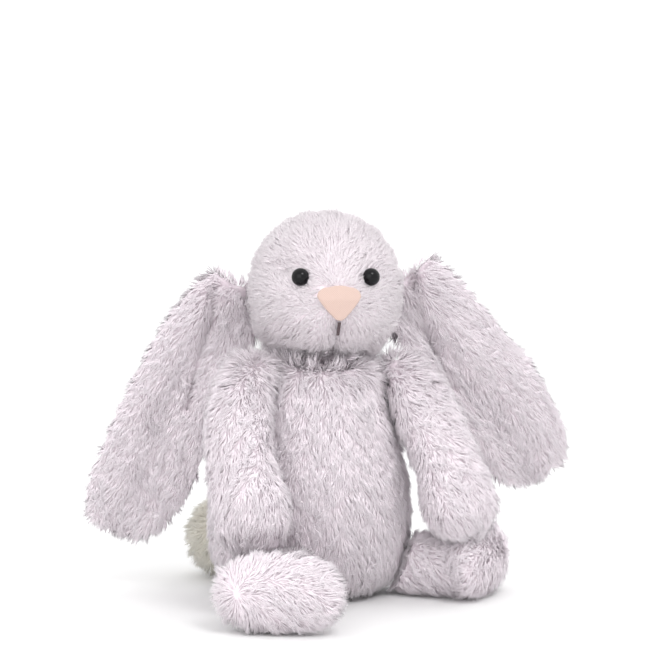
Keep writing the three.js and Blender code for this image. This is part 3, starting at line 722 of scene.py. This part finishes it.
# %% Torso, neck and tail coats
DOWN = np.array([0.0, 0.0, -1.0])
SEAT_CLEAR = 1.2 * MM
COLLAR = [112 * MM, 124 * MM]  # heights between which the torso's hair turns into a collar
COLLAR_LIFTS = [0.29, 0.78]
COLLAR_LENGTHS = [6.4 * MM, 12.0 * MM]
TORSO_NECK, HEAD_NECK = 20 * MM, 20.5 * MM    # no hair on these forms nearer to the neck's middle
NECK_BAND = 13 * MM            # and none on the neck further up or down than this


def off_neck(places, distance):
    """Which places are further than this from the middle of the neck."""
    return np.linalg.norm(places - neck_place, axis=1) > distance


def tail_nap(places, normals):
    return DOWN * 0.5 + np.array([0, 0.4, 0]) + 0.2 * normals


def torso_nap(places, normals):
    outward = unit((places - neck_place) * [1, 1, 0])
    return DOWN + 0.25 * outward


def torso_lift(places):
    return np.interp(places[:, 2], COLLAR, COLLAR_LIFTS)


def torso_length(places):
    return np.interp(places[:, 2], COLLAR, COLLAR_LENGTHS)


coat("torso_plush", "torso", torso_nap, length=torso_length, lift=torso_lift,
     keep=lambda p, n: (p[:, 2] > SEAT_CLEAR) & off_neck(p, TORSO_NECK))
coat("neck_plush", "neck", lambda p, n: DOWN + 0 * p, length=15 * MM, lift=0.95, droop=0.02,
     keep=lambda p, n: (np.abs(p[:, 2] - neck_place[2]) < NECK_BAND))
coat("tail_plush", "torso", tail_nap, length=8 * MM, lift=0.6, material=cream_locks,
     slot="tail_plush", clumping=0.8, keep=lambda p, n: (p[:, 2] > SEAT_CLEAR))

# %% Head coat
EYE_CLEAR = 4.1 * MM           # no hair nearer than this to an eye's middle
NOSE_HEIGHTS = [-8.5 * MM, 4 * MM, 8 * MM]
NOSE_HALF_WIDTHS = [1.5 * MM, 11 * MM, 7.5 * MM]
NOSE_HALF_HEIGHT = 8.0 * MM
NOSE_OVERLAP = 0.6 * MM        # how far the hair comes in over the cloth's edge
NOSE_BACK = -14 * MM
FACE_RINGS = [8 * MM, 20 * MM, 45 * MM]       # distances from the nose
FACE_LENGTHS = [3.0 * MM, 4.4 * MM, 6.2 * MM]
CHIN_BAND, CHIN_GROWTH = [8 * MM, 22 * MM], [1.7, 1.0]


def head_nap(places, normals):
    away = places - (nose_middle + face_way * 4 * MM)
    return unit(away) + 0.12 * DOWN


def off_face_parts(places, normals):
    clear = off_neck(places, HEAD_NECK)
    for eye in eye_middles.values():
        clear &= np.linalg.norm(places - eye, axis=1) > EYE_CLEAR
    from_nose = places - nose_middle
    beside, below = np.abs(from_nose @ face_side), from_nose[:, 2]
    half_width = np.interp(below, NOSE_HEIGHTS, NOSE_HALF_WIDTHS)
    on_nose = (from_nose @ face_way > NOSE_BACK) & (beside < half_width - NOSE_OVERLAP)
    return clear & ~(on_nose & (np.abs(below) < NOSE_HALF_HEIGHT))


def head_length(places):
    away = np.linalg.norm(places - nose_middle, axis=1)
    long = np.interp(away, FACE_RINGS, FACE_LENGTHS)
    under = np.interp(places[:, 2] - neck_place[2], CHIN_BAND, CHIN_GROWTH)
    return long * under


def head_lift(places):
    away = np.linalg.norm(places - nose_middle, axis=1)
    return np.interp(away, [8 * MM, 20 * MM], [0.36, 0.28])


coat("head_plush", "head", head_nap, length=head_length, width=0.25 * MM, lift=head_lift,
     spacing=0.58 * MM, material=face_locks, keep=off_face_parts, droop=0.03, clumping=0.32)

# %% Arm, leg and ear coats
SHOULDER_BAND = [-22 * MM, 2 * MM]      # heights over the shoulder's joint
EAR_BAND = [14 * MM, 40 * MM]           # distances from the ear's joint
# Painted shade at the bottom of an ear's fold, and the depth past which no hair grows.
FOLD_PAINTED_SHADE = 0.9                        # how much darker the hair is at the bottom of a fold
FOLD_BARE = 0.75                        # deeper in a fold than this, no hair grows


def up_shoulder(places, shoulder, low, high):
    """A value that runs from low, on the arm, to high, at the top of the shoulder."""
    return np.interp(places[:, 2] - shoulder[2], SHOULDER_BAND, [low, high])


def along_ear(places, root, near, far):
    """A value that runs from near to far over the first part of the ear."""
    return np.interp(np.linalg.norm(places - root, axis=1), EAR_BAND, [near, far])


for side in ("right", "left"):
    shoulder = joint_places[f"arm_{side}_swing"]
    paw = middle(f"paw_bean_pouch_{side}")

    def arm_nap(places, normals):
        fan = places - (paw + (shoulder - paw) * 0.35)
        return unit((paw - shoulder)[None]) + 0.5 * unit(fan)

    def arm_length(places):
        return up_shoulder(places, shoulder, 6.4 * MM, 11 * MM)

    def arm_lift(places):
        return up_shoulder(places, shoulder, 0.32, 0.62)

    coat(f"arm_plush_{side}", f"arm_{side}", arm_nap, length=arm_length, lift=arm_lift)

    hip = joint_places[f"leg_{side}_swing"]
    sole = middle(f"foot_sole_{side}")
    heel = middle(f"foot_bean_pouch_{side}")
    toes = sole * 2 - heel
    ahead = unit(((sole - hip) * [1, 1, 0])[None])[0]

    def leg_nap(places, normals):
        on_foot = np.clip(((places - sole) @ ahead + 22 * MM) / (10 * MM), 0, 1)[:, None]
        swirl = unit(places - (toes + ahead * 4 * MM))
        return (1 - on_foot) * (ahead + 0.3 * DOWN) + on_foot * (swirl + 0.2 * DOWN)

    coat(f"leg_plush_{side}", f"leg_{side}", leg_nap, keep=lambda p, n: p[:, 2] > SEAT_CLEAR)

    root = joint_places[f"ear_{side}_lift"]

    def ear_nap(places, normals):
        return unit(places - root) + 0.1 * DOWN

    def ear_length(places):
        return along_ear(places, root, 8.5 * MM, 6 * MM)

    # Painted shade for the bottom of the ear's fold.
    def ear_fold_painted_shade(places, normals):
        return FOLD_PAINTED_SHADE * fold_of(side, places, normals)

    def ear_lift(places):
        return along_ear(places, root, 0.5, 0.27)

    coat(f"ear_plush_{side}", f"ear_{side}", ear_nap, length=ear_length, lift=ear_lift,
         keep=lambda p, n: fold_of(side, p, n) < FOLD_BARE, fold=ear_fold_painted_shade)

# %% [markdown]
# ## Eyes
# The eyes are polished black domes that are pushed through the plush and locked from behind. They
# are the only glossy thing on the toy, so a clear highlight on them matters.

# %% Eyes
EYE_RADIUS = 4.6 * MM
EYE_TILT, EYE_LIFT = 0.36, 0.12     # how far the eyes look sideways and up, as slopes
EYE_FLATNESS = 0.92
eye_shader = Shader("polished black eye", Base_Color=(0.003, 0.003, 0.004, 1),
                    Specular_IOR_Level=0.22)
eye_shader.set("Roughness", eye_shader.noise(1.5 * MM, detail=3.0) * 0.05 + 0.05)

for side, sign in (("right", -1), ("left", 1)):
    outward = Vector(face_way + sign * EYE_TILT * face_side + EYE_LIFT * upward).normalized()
    node = bpy.data.objects[f"eye_{side}"].data
    crown = max((v.co for v in node.vertices), key=lambda co: co.dot(outward))
    work = bmesh.new()
    bmesh.ops.create_uvsphere(work, u_segments=48, v_segments=24, radius=EYE_RADIUS)
    bmesh.ops.scale(work, vec=(1, 1, EYE_FLATNESS), verts=work.verts)
    turn = outward.to_track_quat("Z", "Y").to_matrix().to_4x4()
    bmesh.ops.transform(work, matrix=turn, verts=work.verts)
    centre = Vector(crown) - outward * EYE_RADIUS * EYE_FLATNESS
    bmesh.ops.translate(work, vec=centre, verts=work.verts)
    mesh = bpy.data.meshes.new(f"eye_dome_{side}")
    work.to_mesh(mesh)
    work.free()
    mesh.shade_smooth()
    mesh.materials.append(eye_shader.material)
    eye = bpy.data.objects.new(f"eye_dome_{side}", mesh)
    bpy.context.scene.collection.objects.link(eye)
    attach(eye, "head")
    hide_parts(f"eye_{side}")
print("eyes in place")

# %% [markdown]
# ## Nose and mouth
# The nose is a rounded triangle of finely woven peach cloth, lightly padded, and the mouth is one
# short upright stitch of dark thread below it.

# %% Nose and mouth
nose_shader = Shader("woven peach cloth", Roughness=0.75, Sheen_Weight=0.3)
place = nose_shader.place()
along_face = nose_shader.node("ShaderNodeVectorMath", {"operation": "DOT_PRODUCT"},
                              {0: place, 1: tuple(face_side)}, output="Value")
up_face = nose_shader.node("ShaderNodeSeparateXYZ", {}, {0: place}, output="Z")
THREAD_PITCH = 0.9 * MM
warp = (along_face * (2 * pi / THREAD_PITCH)).math("SINE")
weft = (up_face * (2 * pi / THREAD_PITCH)).math("SINE")
weave = (warp * weft + 1) * 0.5
PEACH_DARK, PEACH_PALE = (0.46, 0.33, 0.285), (0.67, 0.50, 0.44)
nose_shader.set("Base Color", nose_shader.mix(weave, PEACH_DARK, PEACH_PALE))
nose_shader.bump(weave, 0.6, 0.2 * MM)

nose = joined("nose_cloth", ["nose_patch"])
modifier(nose, "REMESH", mode="VOXEL", voxel_size=0.45 * MM)
modifier(nose, "SMOOTH", iterations=8, factor=0.5)
modifier(nose, "DISPLACE", strength=0.5 * MM, mid_level=0.0)
applied(nose)
nose.data.shade_smooth()
nose.data.materials.append(nose_shader.material)
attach(nose, "head")
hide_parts("nose_patch")

thread_shader = Shader("dark mouth thread", Roughness=0.8)
twist = thread_shader.noise(0.5 * MM)
THREAD_DARK, THREAD_PALE = (0.05, 0.035, 0.04), (0.12, 0.085, 0.09)
thread_shader.set("Base Color", thread_shader.mix(twist, THREAD_DARK, THREAD_PALE))
mouth = joined("mouth_thread", ["mouth_stitch"])
modifier(mouth, "REMESH", mode="VOXEL", voxel_size=0.3 * MM)
modifier(mouth, "SMOOTH", iterations=6, factor=0.5)
applied(mouth)
mouth.data.shade_smooth()
mouth.data.materials.append(thread_shader.material)
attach(mouth, "head")
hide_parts("mouth_stitch")

# %% [markdown]
# ## Studio
# A plain pale floor reaches well past the view. A small lamp stands high in front, to the
# camera's right. A larger, softer one stands low in front, to the camera's left, and white
# surroundings light the rest.

# %% Studio
bpy.context.scene.view_settings.view_transform = "Standard"
FLOOR_DARK, FLOOR_PALE = (0.865, 0.865, 0.865), (0.875, 0.875, 0.875)
FLOOR_PATCH, FLOOR_REACH = 0.4, 6
LAMP_AIM = Vector((0, 0, 0.09))
sweep_shader = Shader("white studio sweep", Roughness=0.9)
floor_tone = sweep_shader.noise(FLOOR_PATCH)
sweep_shader.set("Base Color", sweep_shader.mix(floor_tone, FLOOR_DARK, FLOOR_PALE))
work = bmesh.new()
bmesh.ops.create_grid(work, x_segments=1, y_segments=1, size=FLOOR_REACH)
mesh = bpy.data.meshes.new("studio floor")
work.to_mesh(mesh)
work.free()
mesh.materials.append(sweep_shader.material)
floor = bpy.data.objects.new("studio floor", mesh)
bpy.context.scene.collection.objects.link(floor)

WORLD_STRENGTH = 1.25
world = bpy.data.worlds.new("white studio")
world.use_nodes = True
world.node_tree.nodes["Background"].inputs[0].default_value = (1, 1, 1, 1)
world.node_tree.nodes["Background"].inputs[1].default_value = WORLD_STRENGTH
bpy.context.scene.world = world


def soft_lamp(name, side, ahead, height, size, power):
    data = bpy.data.lights.new(name, "AREA")
    data.shape, data.size, data.energy = "SQUARE", size, power
    lamp = bpy.data.objects.new(name, data)
    lamp.location = rightwards * side + towards * ahead + Vector((0, 0, height))
    aim = LAMP_AIM - lamp.location
    lamp.rotation_euler = aim.to_track_quat("-Z", "Y").to_euler()
    bpy.context.scene.collection.objects.link(lamp)


soft_lamp("key lamp", side=0.5, ahead=1.0, height=1.2, size=0.5, power=6)
soft_lamp("fill lamp", side=-0.5, ahead=1.5, height=0.4, size=1.4, power=7)
print("studio ready")
